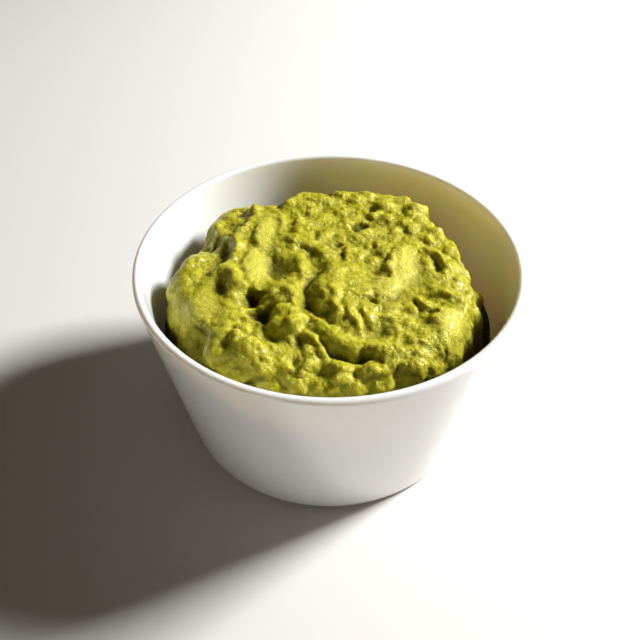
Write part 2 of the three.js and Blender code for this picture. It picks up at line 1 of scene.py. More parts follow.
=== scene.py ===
import math
import bpy
import numpy as np
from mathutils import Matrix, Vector


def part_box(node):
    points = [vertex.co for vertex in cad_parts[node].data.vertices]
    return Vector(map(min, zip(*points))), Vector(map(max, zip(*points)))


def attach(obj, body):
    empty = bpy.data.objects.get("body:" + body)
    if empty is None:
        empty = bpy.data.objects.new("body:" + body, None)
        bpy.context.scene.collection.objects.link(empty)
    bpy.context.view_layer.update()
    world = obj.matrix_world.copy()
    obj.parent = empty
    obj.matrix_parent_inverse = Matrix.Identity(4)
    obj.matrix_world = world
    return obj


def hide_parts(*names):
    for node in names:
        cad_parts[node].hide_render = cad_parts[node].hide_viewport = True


# Guacamole heaped in a white conical bowl.
# The shapes are worked out in millimetres and turned to metres as each mesh is made.
mm = 0.001

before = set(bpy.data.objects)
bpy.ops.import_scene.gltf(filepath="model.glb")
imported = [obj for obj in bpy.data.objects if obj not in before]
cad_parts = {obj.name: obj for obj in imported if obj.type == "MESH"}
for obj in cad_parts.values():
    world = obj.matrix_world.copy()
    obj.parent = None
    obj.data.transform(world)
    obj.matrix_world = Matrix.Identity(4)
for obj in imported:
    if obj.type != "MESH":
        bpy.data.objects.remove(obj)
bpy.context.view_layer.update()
print("frame loaded:", ", ".join(sorted(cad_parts)))


def makeMesh(name, points, faces, smooth=True):
    mesh = bpy.data.meshes.new(name)
    mesh.from_pydata((np.asarray(points) * mm).tolist(), [], faces)
    mesh.polygons.foreach_set("use_smooth", [smooth] * len(mesh.polygons))
    mesh.update()
    piece = bpy.data.objects.new(name, mesh)
    bpy.context.scene.collection.objects.link(piece)
    return piece


def arc(centre, radius, start, end, steps):
    turns = np.linspace(start, end, steps + 1)
    return [(centre[0] + radius * math.cos(t), centre[1] + radius * math.sin(t)) for t in turns]


def lathe(name, profile, sides):
    # profile runs from the axis round to the axis again, as (radius, height)
    turns = np.arange(sides) * 2 * math.pi / sides
    inner = np.array(profile[1:-1])
    points = np.empty((len(inner), sides, 3))
    points[..., 0] = inner[:, :1] * np.cos(turns)
    points[..., 1] = inner[:, :1] * np.sin(turns)
    points[..., 2] = inner[:, 1:]
    points = points.reshape(-1, 3).tolist()
    bottom = len(points)
    points += [(0, 0, profile[0][1]), (0, 0, profile[-1][1])]
    faces = []
    for k in range(sides):
        n = (k + 1) % sides
        faces.append((bottom, n, k))
        for row in range(len(inner) - 1):
            a = row * sides
            b = a + sides
            faces.append((a + k, a + n, b + n, b + k))
        last = (len(inner) - 1) * sides
        faces.append((last + k, last + n, bottom + 1))
    return makeMesh(name, points, faces)


bowlShape = {
    "rimRadius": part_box("bowl")[1].x / mm,
    "height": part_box("bowl")[1].z / mm,
    "baseRadius": 47.8,      # where the wall's line meets the table
    "wall": 2.7,
    "floor": 4.2,
    "cornerRadius": 2.7,
    "filletRadius": 7.0,
    "footInner": 38.5,       # the foot is a flat ring from here out
    "footRecess": 1.2,
    "footBevel": 1.5,
    "bevelSoft": 0.5,        # rounding of the foot ring's inner edge
    "bevelHigh": 0.75,       # shares of the recess at the two ends of the bevel
    "bevelLow": 0.2,
    "flatInset": 10.0,       # how far inside the foot ring the floor's middle fan starts
    "wallEnds": 6.0,         # the wall's rows stop this far from the table and the rim
    "wallBottom": 14.0,      # and inside at this height
    "outerRows": 9,
    "innerRows": 8,
    "cornerSteps": 10,
    "lipSteps": 20,
    "filletSteps": 10,
    "sides": 240,
}
lean = math.atan((bowlShape["rimRadius"] - bowlShape["baseRadius"]) / bowlShape["height"])
lip = bowlShape["wall"] / 2
lipCentre = (bowlShape["rimRadius"] - lip, bowlShape["height"] - lip)


def wallMiddle(z):
    return lipCentre[0] - (lipCentre[1] - z) * math.tan(lean)


def outerRadius(z):
    return wallMiddle(z) + lip / math.cos(lean)


def innerRadius(z):
    return wallMiddle(z) - lip / math.cos(lean)


def fillet(gap, steps):
    z = bowlShape["floor"] + bowlShape["filletRadius"]
    centre = (innerRadius(z) - bowlShape["filletRadius"] / math.cos(lean), z)
    return arc(centre, bowlShape["filletRadius"] - gap, -lean, -math.pi / 2, steps)


def makeBowl():
    shape = bowlShape
    corner = shape["cornerRadius"]
    cornerCentre = (outerRadius(corner) - corner / math.cos(lean), corner)
    foot = shape["footInner"]
    bevel = foot - shape["footBevel"]
    soft = shape["bevelSoft"]
    recess = shape["footRecess"]
    ends = shape["wallEnds"]
    top = shape["height"] - ends
    profile = [
        (0, recess),
        (bevel - soft, recess),
        (bevel + soft, recess * shape["bevelHigh"]),
        (foot - soft, recess * shape["bevelLow"]),
        (foot + soft, 0),
    ]
    profile += arc(cornerCentre, corner, -math.pi / 2, -lean, shape["cornerSteps"])
    profile += [(outerRadius(z), z) for z in np.linspace(ends, top, shape["outerRows"])]
    profile += arc(lipCentre, lip, -lean, math.pi - lean, shape["lipSteps"])
    profile += [(innerRadius(z), z) for z in np.linspace(top, shape["wallBottom"], shape["innerRows"])]
    profile += fillet(0, shape["filletSteps"])
    profile += [(foot - shape["flatInset"], shape["floor"]), (0, shape["floor"])]
    return lathe("bowlGlazed", profile, shape["sides"])


bowlPiece = makeBowl()
print("bowl made")


heapShape = {
    "gap": -0.1,             # the mash presses into the glaze a little, so no slit shows
    "contact": 39.0,         # mean height at which it leaves the wall
    "contactTilt": 2.4,      # it is this much lower on the hollow side
    "tiltTurn": 15.0,        # degrees, direction of the hollow side
    "contactWaves": [(0.9, 3, 1.0), (0.6, 7, 2.4)],   # height, waves in a turn, phase
    "crown": 61.2,           # the dome's height, without the relief
    "squareness": 28.0,      # how flat the top and how steep the sides are
    "shrink": 0.97,          # foot of the steep side, as a share of the wall's radius
    # turn, half-width in degrees, and how much further in the side stands there
    "sideDents": [(92, 52, 0.085), (12, 36, 0.115), (163, 26, 0.10), (120, 16, 0.05), (33, 14, 0.035),
                  (215, 40, 0.012)],
    "rings": 174,
    "slopeStep": 0.05,       # over which the dome's slope is measured
    "roundPasses": 4,        # passes that round the drawn forms off
    "roundShare": 0.5,
    "evenPasses": 40,        # passes that share the points out over steep places
    "evenShare": 0.6,
    "levelPasses": 250,      # passes that find the mean height around a place
    "sideDepth": 3.0,        # how far the side goes on down inside the wall, out of sight
    "filletSteps": 3,
    "fadeWidth": 2.2,        # relief dies out over this distance before the wall
    "fadeFloor": 0.25,       # share of the relief that is left at the wall
}

# Forms in plan: x, y, half-lengths a and b, turn of a in degrees, lift or drop, softness of the edge.
terraces = [
    (-36, 22, 14, 8, 55, -3.4, 0.25), (-37, 4, 8.5, 5, 85, -2.2, 0.3), (-38, -13, 13, 10, 110, -1.0, 0.4),
    (46, -12, 15, 6, 95, -1.8, 0.4), (40, 24, 14, 6, 125, -1.6, 0.5), (4.8, -14, 14, 9.6, 92, 2.0, 0.3),
    (-26, -39.6, 11.5, 6.6, 153, 3.2, 0.2), (-14, 16, 12, 7, 95, 1.0, 0.5),
    (-12.8, -26.4, 6.6, 4.6, 72, 2.6, 0.3), (-12.5, -14.5, 6.5, 5.5, -30, 1.6, 0.3),
    (23, -1, 13, 8, 100, 0.8, 0.35), (34, -27, 9.6, 6.5, 100, 1.4, 0.3),
    (-39, -32, 6, 4.5, -50, -3.0, 0.35), (0, 43, 26, 7, 0, -1.0, 0.5), (-20, 38, 8, 5, 20, -3.0, 0.5),
    (0, -44, 34, 5, 0, -1.2, 0.5),
]
hollows = [
    (-32.6, -11, 4.6, 1.9, -62, 1.3), (-22.8, -15.6, 4.4, 3.2, -40, 4.2), (-19.8, -23, 4.4, 3.0, -40, 4.2),
    (-27.4, -18, 2.8, 1.8, -20, 1.4),
    (-16, -33.2, 3.8, 2.2, -25, 1.4), (-9.8, -34.6, 3.8, 2, -75, 1.2), (-15, -2.4, 6, 4.4, -15, 0.7),
    (14.6, 27.6, 3.4, 1.9, 95, 1.7), (2.4, 8.8, 2.4, 1.6, 10, 1.8), (32.8, -1.6, 4.6, 1.8, 95, 0.9),
    (14.4, -29.4, 4.4, 3.4, 90, 1.3), (-10, -40.8, 2.4, 1.8, 0, 1.6), (13.6, -42.4, 2.0, 1.2, 0, 1.0),
    (19, -45, 3.4, 1.1, 80, 2.2), (-3, -45.6, 3.4, 2.6, 80, 1.6), (6.4, -46, 2.8, 1.6, 80, 1.4),
    (8.4, -41, 2.2, 1.6, 0, 1.2),
    (-37.6, 11.5, 3.6, 2.4, 60, 1.0), (-40.6, 6.4, 1.6, 1.2, 0, 0.6),
    (13.1, -18.6, 0.8, 0.75, 0, 3.4), (28.2, -24.4, 2.4, 1.2, 10, 0.9), (34.8, 30, 2.6, 1.1, 100, 2.2),
    (13.6, -4.8, 1.8, 1.1, -30, 0.9), (-17.4, 31, 2, 1.6, 0, 1.6), (-28, -36, 2, 1.2, -35, 1.2),
]

# Furrows and ridges follow smooth paths: points, width, drop or rise, and a ridge's lean.
furrows = [
    ([(-20.6, 30.5), (-24.4, 26.4), (-28.4, 21), (-30.8, 14.6), (-31.6, 8), (-32.4, 1), (-32.8, -2.6)],
     2.2, 1.5),
    ([(-1.6, -6), (-5, -8.4), (-7.2, -12), (-7.2, -16), (-5.2, -20.6), (-1.8, -25.5), (1.6, -29.4)],
     2.6, 2.4),
    ([(-3.6, -33), (-0.6, -36.6), (3.4, -39), (8, -40), (12.6, -39.8)], 1.8, 2.8),
    ([(-8.6, -19.5), (-6.6, -24), (-4, -28.6)], 1.2, 1.0),
    ([(3.6, -15.5), (3.4, -20), (4, -25)], 1.3, 0.7),
    ([(6.6, -22), (8.6, -26.5), (11, -30.5)], 1.2, 0.8),
    ([(-12.4, 26.4), (-13.2, 20), (-13.8, 13)], 3.0, 1.5),
    ([(-17.2, 26), (-17, 18), (-16.4, 9)], 0.9, 0.6),
    ([(-26.2, -3), (-25.8, -6.4), (-25, -10.4)], 1.3, 1.8),
    ([(7, 18.2), (9.4, 19), (12.4, 18.2)], 2.6, 4.2),
    ([(2, 18.4), (5, 18.2), (7.6, 18.6)], 1.2, 0.9),
    ([(4.6, 6), (4.8, 2)], 1.2, 1.0),
    ([(23, 15), (22.8, 13), (22.2, 10)], 1.0, 0.6),
    ([(22.4, 10), (19, 4), (16.8, -1), (15.6, -5)], 1.2, 0.6),
    ([(-28.4, -33), (-27.6, -37.4), (-27.6, -42)], 1.6, 1.6),
    ([(-22.4, -27), (-22.2, -31), (-22.6, -34)], 0.9, 0.7),
]
ridges = [
    ([(-36.6, -6.4), (-34.4, -5), (-31.4, -4.6), (-29, -6), (-27.8, -9.4), (-28.2, -13.4)], 3.0, 2.3, -0.2),
    ([(-22.6, -7), (-21.4, -11), (-19.4, -11.4)], 2.6, 1.0, 0),
    ([(-20.6, -16.8), (-18.6, -15.4), (-15.6, -14.8)], 1.4, 0.9, 0),
    ([(-26.4, -21.4), (-23.6, -20), (-21.4, -19.4), (-19.4, -18.4)], 1.2, 0.9, 0.3),
    ([(-13.6, -12.8), (-12, -15.4), (-10, -19), (-8, -23.6), (-6.4, -27.4)], 2.0, 1.3, -0.2),
    ([(-13.4, -20.6), (-12.4, -24), (-11, -28)], 2.4, 0.6, 0),
    ([(-5.4, -21), (-4, -25), (-1.6, -29.6), (1.8, -34), (6, -36.6), (10.4, -36.8), (15, -37),
      (19.6, -35.4)], 3.0, 1.8, 0),
    ([(-8.4, -29), (-5.4, -33), (-2.4, -37), (-1, -39.6)], 2.0, 1.5, 0),
    ([(1, -14), (1, -20), (1.4, -27)], 1.6, 0.8, 0),
    ([(5.0, -21.5), (6.8, -27), (9.6, -31.4)], 1.5, 0.9, -0.3),
    ([(8.8, -22), (11.4, -28.6)], 1.3, 0.8, -0.3),
    ([(6, -14.6), (7.6, -16.2), (10.4, -16.9), (12.4, -16)], 1.4, 0.9, -0.4),
    ([(-13, 8), (-10.4, 9.4), (-6, 8.6), (-2.6, 5.4), (-0.6, 1.4), (0.4, -3.6)], 2.6, 1.6, -0.3),
    ([(-9.4, 3), (-9, -1), (-9.2, -5)], 1.6, 0.3, 0),
    ([(6, 7), (6.2, 4.4), (5.8, 2)], 1.5, 1.0, -0.5),
    ([(30, 4.6), (33, 4.4), (35.4, 1.6), (36, -3), (34.4, -8)], 2.2, 1.5, -0.3),
    ([(29.4, -14.8), (32.6, -15), (36.6, -16), (39, -18.6), (39.4, -22)], 2.1, 1.3, -0.3),
    ([(25.6, -17), (27.6, -19.4), (28.8, -22)], 1.3, 1.2, -0.4),
    ([(-18.9, 26), (-18.6, 19), (-17.6, 12)], 1.3, 0.6, 0),
    ([(-16.4, 25), (-16.6, 18), (-16, 12)], 1.2, 0.5, 0.2),
    ([(-22.6, 27), (-26.6, 22), (-29.4, 16), (-29.6, 9), (-30, 3), (-30.4, -1.6)], 2.0, 1.5, -0.4),
    ([(-42.6, -15), (-41.8, -20), (-40, -23.6), (-36.4, -26.2), (-33, -27.6)], 1.6, 0.9, -0.4),
    ([(-41, -1.5), (-45, -6), (-48, -11), (-48.6, -16)], 3.0, 1.0, 0.3),
    ([(-33.8, -35), (-30.4, -36.6), (-27, -38.6)], 1.8, 1.2, 0),
    ([(-20.8, -35.2), (-16.6, -36), (-13.4, -38.6)], 2.0, 1.2, 0.3),
    ([(6.5, 12.6), (10, 13.6), (14, 14.8), (18, 16.6)], 1.9, 0.8, 0.2),
    ([(-8.6, -37.8), (-5.6, -38.6), (-3.6, -40.4)], 1.2, 1.0, 0),
    ([(40.6, 13), (40, 8), (41, 1), (43.6, -4)], 1.4, 0.8, 0),
]

# Single lumps: x, y, radius, rise.
lumps = [
    (-31, -31.6, 3, 2.6), (-24.8, -29.6, 2.6, 1.6), (-20.4, -31, 2.4, 1.2), (-10.8, -29.4, 3.0, 2.0),
    (-15, -22.8, 2.6, 1.8), (-12.2, -25.2, 3.0, 1.8), (-14.6, -28.4, 2.6, 1.2),
    (-37.4, -15, 3.6, 0.8), (-35, -21, 3.4, 1), (-47.2, -3.6, 2.4, 1.8), (-44.6, -8.6, 3.2, 1),
    (-40, 3, 2.4, 2), (-43.4, 1.4, 2.4, 1.4), (-38, 23.6, 2.8, 2.4), (-35.8, 19.4, 2.6, 1.4),
    (-33.6, 16.2, 2.8, 1.6), (-38.4, 17, 2.6, 1.4), (-30, 25.6, 3.6, 1.8), (-25.4, 29, 3.4, 2.2),
    (-33.4, 28.6, 3.2, 2), (-39.6, 26.6, 2.6, 1.2), (-13.6, 31.4, 3.4, 1.6), (-8.4, 31, 3.4, 1.2),
    (-3.4, 34.6, 4, 1.4), (3.6, 36.6, 3.8, 2), (9.6, 34.6, 3.2, 1.2), (13, 37, 3, 1.6),
    (19, 30, 3.4, 1.8), (25.4, 35, 3, 1.4), (30.6, 29, 4.4, 2.8), (28.4, 25, 2.8, 1.2),
    (15.4, 24.8, 2.6, 1.4), (11.6, 16.4, 2.6, 1.2), (-2.4, 23, 3.6, 1), (4.4, 27.8, 3.4, 1),
    (0.5, 31, 3.2, 1), (8.4, 28.6, 2.8, 0.9), (-5.4, 27, 3, 0.8), (21.4, 28, 3, 1),
    (19, 22, 2.8, 1.2), (24, 19, 2.8, 1.4), (26.6, 17, 2.8, 1.4), (22, 16, 2.2, 1), (32, 22, 3.4, 1),
    (35.4, 15, 3, 1.2), (31.6, 12, 2.6, 0.9), (16.4, 9, 2.6, 1.2), (12.8, 8.6, 2.2, 0.8),
    (13, 0.6, 2.2, 1.6), (17.4, 5, 2.2, 0.9), (9.4, 3, 2.6, 0.9), (-1.4, 14, 3, 1),
    (4, 12.6, 2.2, 0.9), (38.6, 5.6, 2.6, 1), (39, -1.6, 2.4, 1), (43, -4, 2.8, 1.6),
    (40.4, -8.4, 2.6, 1.2), (44.6, -12, 2.6, 1), (23.4, -22, 2.6, 0.9), (22, -27.6, 2.4, 0.8),
    (25.6, -30, 2.8, 1), (30.6, -27, 3, 0.8), (34, -24, 2.8, 1), (35.4, -31, 3, 1),
    (31, -35.6, 2.8, 0.5), (27, -33.6, 2.4, 0.9), (22.4, -33, 2.4, 1), (25, -44.4, 4.0, 2.4),
    (28, -41.4, 2.6, 0.6), (18.6, -43.6, 2.6, 1.4), (14.6, -45.4, 2.4, 1.2), (10.6, -45.6, 3.2, 2.0),
    (2.4, -44, 2.8, 2.0), (3, -48, 2.6, 1.6), (-7, -42, 3, 1.8), (-8, -45.6, 2.4, 1),
    (-18.4, -33.6, 2.2, 0.9), (-14.6, -35.6, 2.0, 0.8), (-11.6, -33.4, 1.8, 0.8), (-25.4, -33.4, 2.2, 0.9),
    (-29.6, -28.4, 2.0, 0.8), (-23.4, -24.6, 2.0, 0.8),
    (-12.6, -43, 2.6, 1.4), (-15.6, -40, 2.8, 1.2), (-18.6, -44, 2.6, 1.2), (-21.6, -39.6, 3, 1.4),
    (-24.8, -42.6, 2.6, 1.2), (-30.4, -40, 2.6, 1.2), (-34.4, -36, 3.6, 1.4), (-22, -39, 4, 1.4),
    (5, -4, 3.4, 0.6), (7.6, -9.6, 3, 0.7), (10.3, -15.2, 3.4, 0.9), (2, -9, 3, 0.4),
    (-50, -9, 4, 1.4), (-52, -20, 4.4, 1.6), (-46, -27, 4, 1.2), (-45, -37, 4.6, 1.8),
    (-38, -40, 4, 1.4), (-33, -45, 4.4, 1.6), (-26, -48, 4, 1.6), (-18, -50, 4, 1.2),
    (-10, -50, 3.6, 1.6), (-2, -51, 4, 1.2), (7, -50, 3.6, 1.6), (15, -49, 3.8, 1.4),
    (24, -47, 3.6, 1.4), (32, -43, 3.8, 1.2), (39, -37, 4, 1.4), (45, -28, 4.2, 1.2),
    (50, -18, 4, 1.4), (52, -6, 4.2, 1.4), (51, 6, 4, 1.2), (-50, 8, 4.2, 1.6),
    (-48, 18, 4, 1.4), (-57, -3, 4, 1.2), (-53, -30, 4.2, 1.4), (-57, -14, 4, 1.2),
]

# Places that the back of the spoon drew to a plane: x, y, a, b, turn, lift, tilt along x and y.
smears = [
    (23, -3, 11.5, 6.6, 84, 0.9, -0.28, 0.13), (-37.2, -20.4, 7.4, 5.6, -25, -0.4, -0.12, 0.02),
    (-22.4, -1.6, 11, 4.6, 97, 0.4, -0.34, 0.02),
    (34.2, -29.2, 8.6, 4.6, 100, 1.4, -0.14, 0.1), (16.4, -12.7, 5, 5, 0, 2, -0.04, 0.03),
    (-20.2, 15.4, 11, 4.6, 84, 1.0, -0.3, 0),
]
# Broad slopes: x, y, a, b, turn, and the rise along x and along y.
leans = [
    (-13.4, -2.6, 7.6, 7.6, -20, 0.46, 0.14), (-28, -20.5, 6.4, 5.6, 0, -0.26, -0.06),
    (6, -13, 13, 9, 92, -0.12, 0), (24, -4, 12, 7, 100, -0.22, 0.04),
    (-24, -41, 10, 7, 155, -0.12, 0.06), (35, -27, 11, 6, 100, -0.06, 0), (-44, -6, 12, 6, 95, 0.05, 0),
    (32, 24, 9, 8, 0, -0.12, 0), (32.8, -18.6, 5, 4.4, -20, 0.22, 0.22),
    (14.6, -29.6, 6, 5.4, 90, 0.26, 0.2), (-34, 25, 8, 6, 50, -0.10, 0), (-36, 13, 6, 5, 60, 0.20, 0.06),
]
# Calm places, where the mash is less lumpy: x, y, a, b, turn, share of the lumps taken away.
calm = [
    (6.5, -15, 11, 9, 95, 0.75), (-12, 0, 9, 7, -30, 0.7), (-29, -6, 6, 5, -60, 0.6),
    (-18, 15, 7, 13, 0, 0.9), (-36, -17, 10, 7, -50, 0.6), (4, -33, 14, 4, -15, 0.3),
    (35, -27, 11, 6, 100, 0.5), (36, -13, 7, 5, 0, 0.5), (-14, -15, 7, 5, -30, 0.5),
]
# Left in the drawn places by the spoon's edge, sizes in mm.
streaks = {"rise": 0.55, "across": 1.3, "along": 9.0, "seed": 71}

# Crests drawn sideways over what lies beside them: path, width, and the way they go.
pulls = [
    ([(-35, -5.4), (-31.4, -4.6), (-29, -6), (-27.8, -9.4), (-28, -12.6)], 2.8, (-0.9, -0.5, 0.1)),
    ([(-23.6, -10.6), (-19.8, -11.6)], 2.6, (-0.2, -1.8, 0.1)),
    ([(-20.6, -16.6), (-18.6, -15.6)], 1.6, (-0.9, -0.6, 0.2)),
    ([(-12, -29.6), (-9.8, -30.4)], 3.0, (0.2, -1.2, 0.1)),
    ([(-11.8, 8.8), (-7, 8.8), (-3, 6), (-1, 2)], 2.2, (-0.6, -0.6, 0.2)),
    ([(0.4, -33), (5, -36.4), (10, -36.8)], 2.4, (-0.2, -0.7, 0)),
    ([(26, -17.4), (28, -20), (28.9, -22.4)], 1.6, (-0.7, -1.0, 0.3)),
    ([(31, -15), (35, -15.6), (38, -17.4)], 1.8, (-0.4, -0.5, 0.1)),
    ([(34.4, 4.4), (36, 1), (36, -4)], 1.6, (-0.7, -0.1, 0.1)),
    ([(32.4, 31.6), (33, 28.6)], 1.6, (0.9, 0, 0.4)),
    ([(40.4, 12.6), (41.2, 13.8)], 1.8, (1.6, 1.2, 1.4)),
    ([(5.9, 6.4), (6, 2)], 1.4, (-0.8, 0, 0.2)),
    ([(7, -15.8), (10, -16.8), (12, -16.2)], 1.4, (-0.2, -0.6, 0.1)),
]

# How the forms run out: a core and a blend are shares of the form's own half-lengths.
runOut = {
    "hollowCore": 0.15,
    "hollowBlend": 1.2,
    "leanCore": 0.5,
    "leanBlend": 0.7,
    "smearCore": 0.55,
    "smearBlend": 0.5,
    "smearHold": 0.9,        # share of the other relief that a smear takes away
    "ridgeSpread": 1.2,      # reach of a ridge in its widths
    "lumpSpread": 1.15,      # and of a lump in its radii
    "steepSide": 0.5,        # how much narrower a leaning ridge is on its steep side
    "pathEnds": 0.2,         # share of a path's length over which each end dies out
    "endRise": 0.2,          # share of a ridge's rise that is left at its ends
    "pullPower": 1.3,
}

# Slow rise and fall: size, rise, seed. And what bends every outline: size, reach, seed.
swell = [(14, 1.2, 3), (7, 0.9, 10)]
wander = [(6.0, 1.1, 11), (3.0, 1.6, 12), (1.4, 0.6, 13)]

# Soft lumps all over, one in each cell of a jittered grid. Radii are shares of a cell.
mash = {
    "size": 4.6,
    "rise": 0.6,
    "seed": 21,
    "jitter": 0.8,
    "radius": 0.56,
    "spread": 0.5,
    "lowest": 0.35,
    "middle": 0.3,           # height of a lump that leaves the surface where it is
}
capPower = {"mash": 0.9, "lump": 1.2, "ridge": 1.4}   # below 1 the sides bulge, above 1 they run out softly

# Finer lumps stand along the surface's own normal: size, rise, seed, and how much a smear flattens them.
fineLumps = [(3.1, 0.42, 31, 0.8), (1.9, 0.32, 47, 0.6), (1.2, 0.2, 63, 0.4)]
# A torn roughness beside them: size, rise, seed, flattening.
fineTears = [(3.4, 0.38, 5, 0.7), (1.7, 0.22, 17, 0.5), (0.85, 0.13, 29, 0.2)]
# The fine lumps' own form, in shares of a cell.
lumpCells = {
    "bend": 0.9,             # how far they are bent out of round
    "bendSize": 0.8,
    "radius": 0.6,
    "spread": 0.4,
    "lowest": 0.5,
    "middle": 0.35,
}


def ease(v):
    t = np.clip(v, 0, 1)
    return t * t * (3 - 2 * t)


def cap(q2, power):
    return np.clip(1 - q2, 0, 1) ** power


# far apart and odd, so that cells next to each other draw unlike numbers
scramble = {"x": 127.1, "y": 311.7, "z": 191.3, "seed": 74.7, "size": 43758.5453}


def draw(i, j, seed, k=0):
    # a number from 0 to 1 that is always the same for a cell and a seed
    turn = i * scramble["x"] + j * scramble["y"] + k * scramble["z"] + seed * scramble["seed"]
    s = np.sin(turn) * scramble["size"]
    return s - np.floor(s)


def noise(x, y, seed):
    # smooth noise over the plane, from -0.5 to 0.5
    i = np.floor(x)
    j = np.floor(y)
    s = ease(x - i)
    t = ease(y - j)
    low = draw(i, j, seed) * (1 - s) + draw(i + 1, j, seed) * s
    high = draw(i, j + 1, seed) * (1 - s) + draw(i + 1, j + 1, seed) * s
    return low * (1 - t) + high * t - 0.5


def mashLumps(x, y):
    # one soft lump in each cell of a jittered grid: high in its middle, 0 in the creases
    best = np.zeros_like(x)
    seed = mash["seed"]
    jitter = mash["jitter"]
    still = (1 - jitter) / 2
    for stepX in (-1, 0, 1):
        for stepY in (-1, 0, 1):
            i = np.floor(x) + stepX
            j = np.floor(y) + stepY
            dx = x - i - still - jitter * draw(i, j, seed)
            dy = y - j - still - jitter * draw(i, j, seed + 1)
            size = mash["radius"] + mash["spread"] * draw(i, j, seed + 2)
            height = mash["lowest"] + (1 - mash["lowest"]) * draw(i, j, seed + 3)
            best = np.maximum(best, height * cap((dx * dx + dy * dy) / size ** 2, capPower["mash"]))
    return best


def noise3(points, size, seed):
    # noise in space, from -0.5 to 0.5
    p = points / size
    base = np.floor(p)
    t = ease(p - base)
    out = 0
    for corner in np.ndindex(2, 2, 2):
        at = base + np.array(corner)
        share = np.prod(np.where(corner, t, 1 - t), 1)
        out = out + share * draw(at[:, 0], at[:, 1], seed, at[:, 2])
    return out - 0.5


def roundLumps(points, size, seed):
    # mashLumps in space, for lumps on steep places too, each bent out of round
    p = points / size
    bend = [noise3(points, size * lumpCells["bendSize"], seed + 11 * k) for k in (1, 2, 3)]
    p = p + lumpCells["bend"] * np.stack(bend, 1)
    base = np.floor(p)
    best = np.zeros(len(p))
    for step in np.ndindex(3, 3, 3):
        c = base + np.array(step) - 1
        offset = [draw(c[:, 0], c[:, 1], seed + n, c[:, 2]) for n in range(5)]
        d = p - c - np.stack(offset[:3], 1)
        radius = lumpCells["radius"] + lumpCells["spread"] * offset[3]
        height = lumpCells["lowest"] + (1 - lumpCells["lowest"]) * offset[4]
        best = np.maximum(best, height * cap((d ** 2).sum(1) / radius ** 2, capPower["mash"]))
    return best


def turned(x, y, degrees):
    # how far a place lies along and across an axis turned by so many degrees
    c = math.cos(math.radians(degrees))
    s = math.sin(math.radians(degrees))
    return x * c + y * s, y * c - x * s


def ovalDistance(x, y, oval):
    # 0 in the oval's middle, 1 on its outline
    middleX, middleY, a, b, turn = oval
    along, across = turned(x - middleX, y - middleY, turn)
    return np.hypot(along / a, across / b)


def held(x, y, oval, kind):
    # 1 in the core of the oval, 0 outside its blend
    return 1 - ease((ovalDistance(x, y, oval) - runOut[kind + "Core"]) / runOut[kind + "Blend"])


def smoothLine(path, stepsPerLeg=6):
    # a curve through the path's points
    p = [np.array(q, float) for q in path]
    p = [2 * p[0] - p[1]] + p + [2 * p[-1] - p[-2]]
    line = []
    for a, b, c, d in zip(p, p[1:], p[2:], p[3:]):
        for t in np.arange(stepsPerLeg) / stepsPerLeg:
            line.append(0.5 * (2 * b + (c - a) * t + (2 * a - 5 * b + 4 * c - d) * t ** 2
                               + (3 * b - a - 3 * c + d) * t ** 3))
    return np.array(line + [p[-2]])


def pathDistance(x, y, line):
    # distance from the line, the side of it, and how much its ends let stand there
    best = np.full(len(x), np.inf)
    side = np.zeros(len(x))
    share = np.zeros(len(x))
    legs = len(line) - 1
    for k in range(legs):
        dx, dy = line[k + 1] - line[k]
        along = np.clip(((x - line[k][0]) * dx + (y - line[k][1]) * dy) / (dx * dx + dy * dy), 0, 1)
        ox = x - line[k][0] - along * dx
        oy = y - line[k][1] - along * dy
        distance = np.hypot(ox, oy)
        near = distance < best
        best = np.where(near, distance, best)
        side = np.where(near, np.sign(dx * oy - dy * ox), side)
        share = np.where(near, (k + along) / legs, share)
    return best, side, np.sqrt(np.clip(np.minimum(share, 1 - share) / runOut["pathEnds"], 0, 1))


def nearPath(x, y, line, reach):
    low = line.min(0) - reach
    high = line.max(0) + reach
    return (x > low[0]) & (x < high[0]) & (y > low[1]) & (y < high[1])


def addBroadForms(out, x, y):
    # terraces, slopes, hollows and furrows add up
    for *oval, lift, soft in terraces:
        out += lift * (1 - ease((ovalDistance(x, y, oval) - 1 + soft) / (2 * soft)))
    for *oval, riseX, riseY in leans:
        out += held(x, y, oval, "lean") * (riseX * (x - oval[0]) + riseY * (y - oval[1]))
    for *oval, drop in hollows:
        out -= drop * held(x, y, oval, "hollow")
    for path, width, drop in furrows:
        line = smoothLine(path)
        here = nearPath(x, y, line, width)
        distance, side, ends = pathDistance(x[here], y[here], line)
        out[here] -= drop * ends * (1 - ease(distance / width))


def raisedForms(x, y):
    # lumps and ridges; where they meet, the higher one stands
    raised = np.zeros_like(x)
    for lumpX, lumpY, radius, rise in lumps:
        q2 = ((x - lumpX) ** 2 + (y - lumpY) ** 2) / (runOut["lumpSpread"] * radius) ** 2
        raised = np.maximum(raised, rise * cap(q2, capPower["lump"]))
    for path, width, rise, tilt in ridges:
        line = smoothLine(path)
        here = nearPath(x, y, line, 2 * width)
        distance, side, ends = pathDistance(x[here], y[here], line)
        lopsided = np.where(side * tilt > 0, -runOut["steepSide"], runOut["steepSide"]) * abs(tilt)
        wide = runOut["ridgeSpread"] * width * (1 + lopsided)
        crest = rise * (runOut["endRise"] + (1 - runOut["endRise"]) * ends)
        raised[here] = np.maximum(raised[here], crest * cap((distance / wide) ** 2, capPower["ridge"]))
    return raised


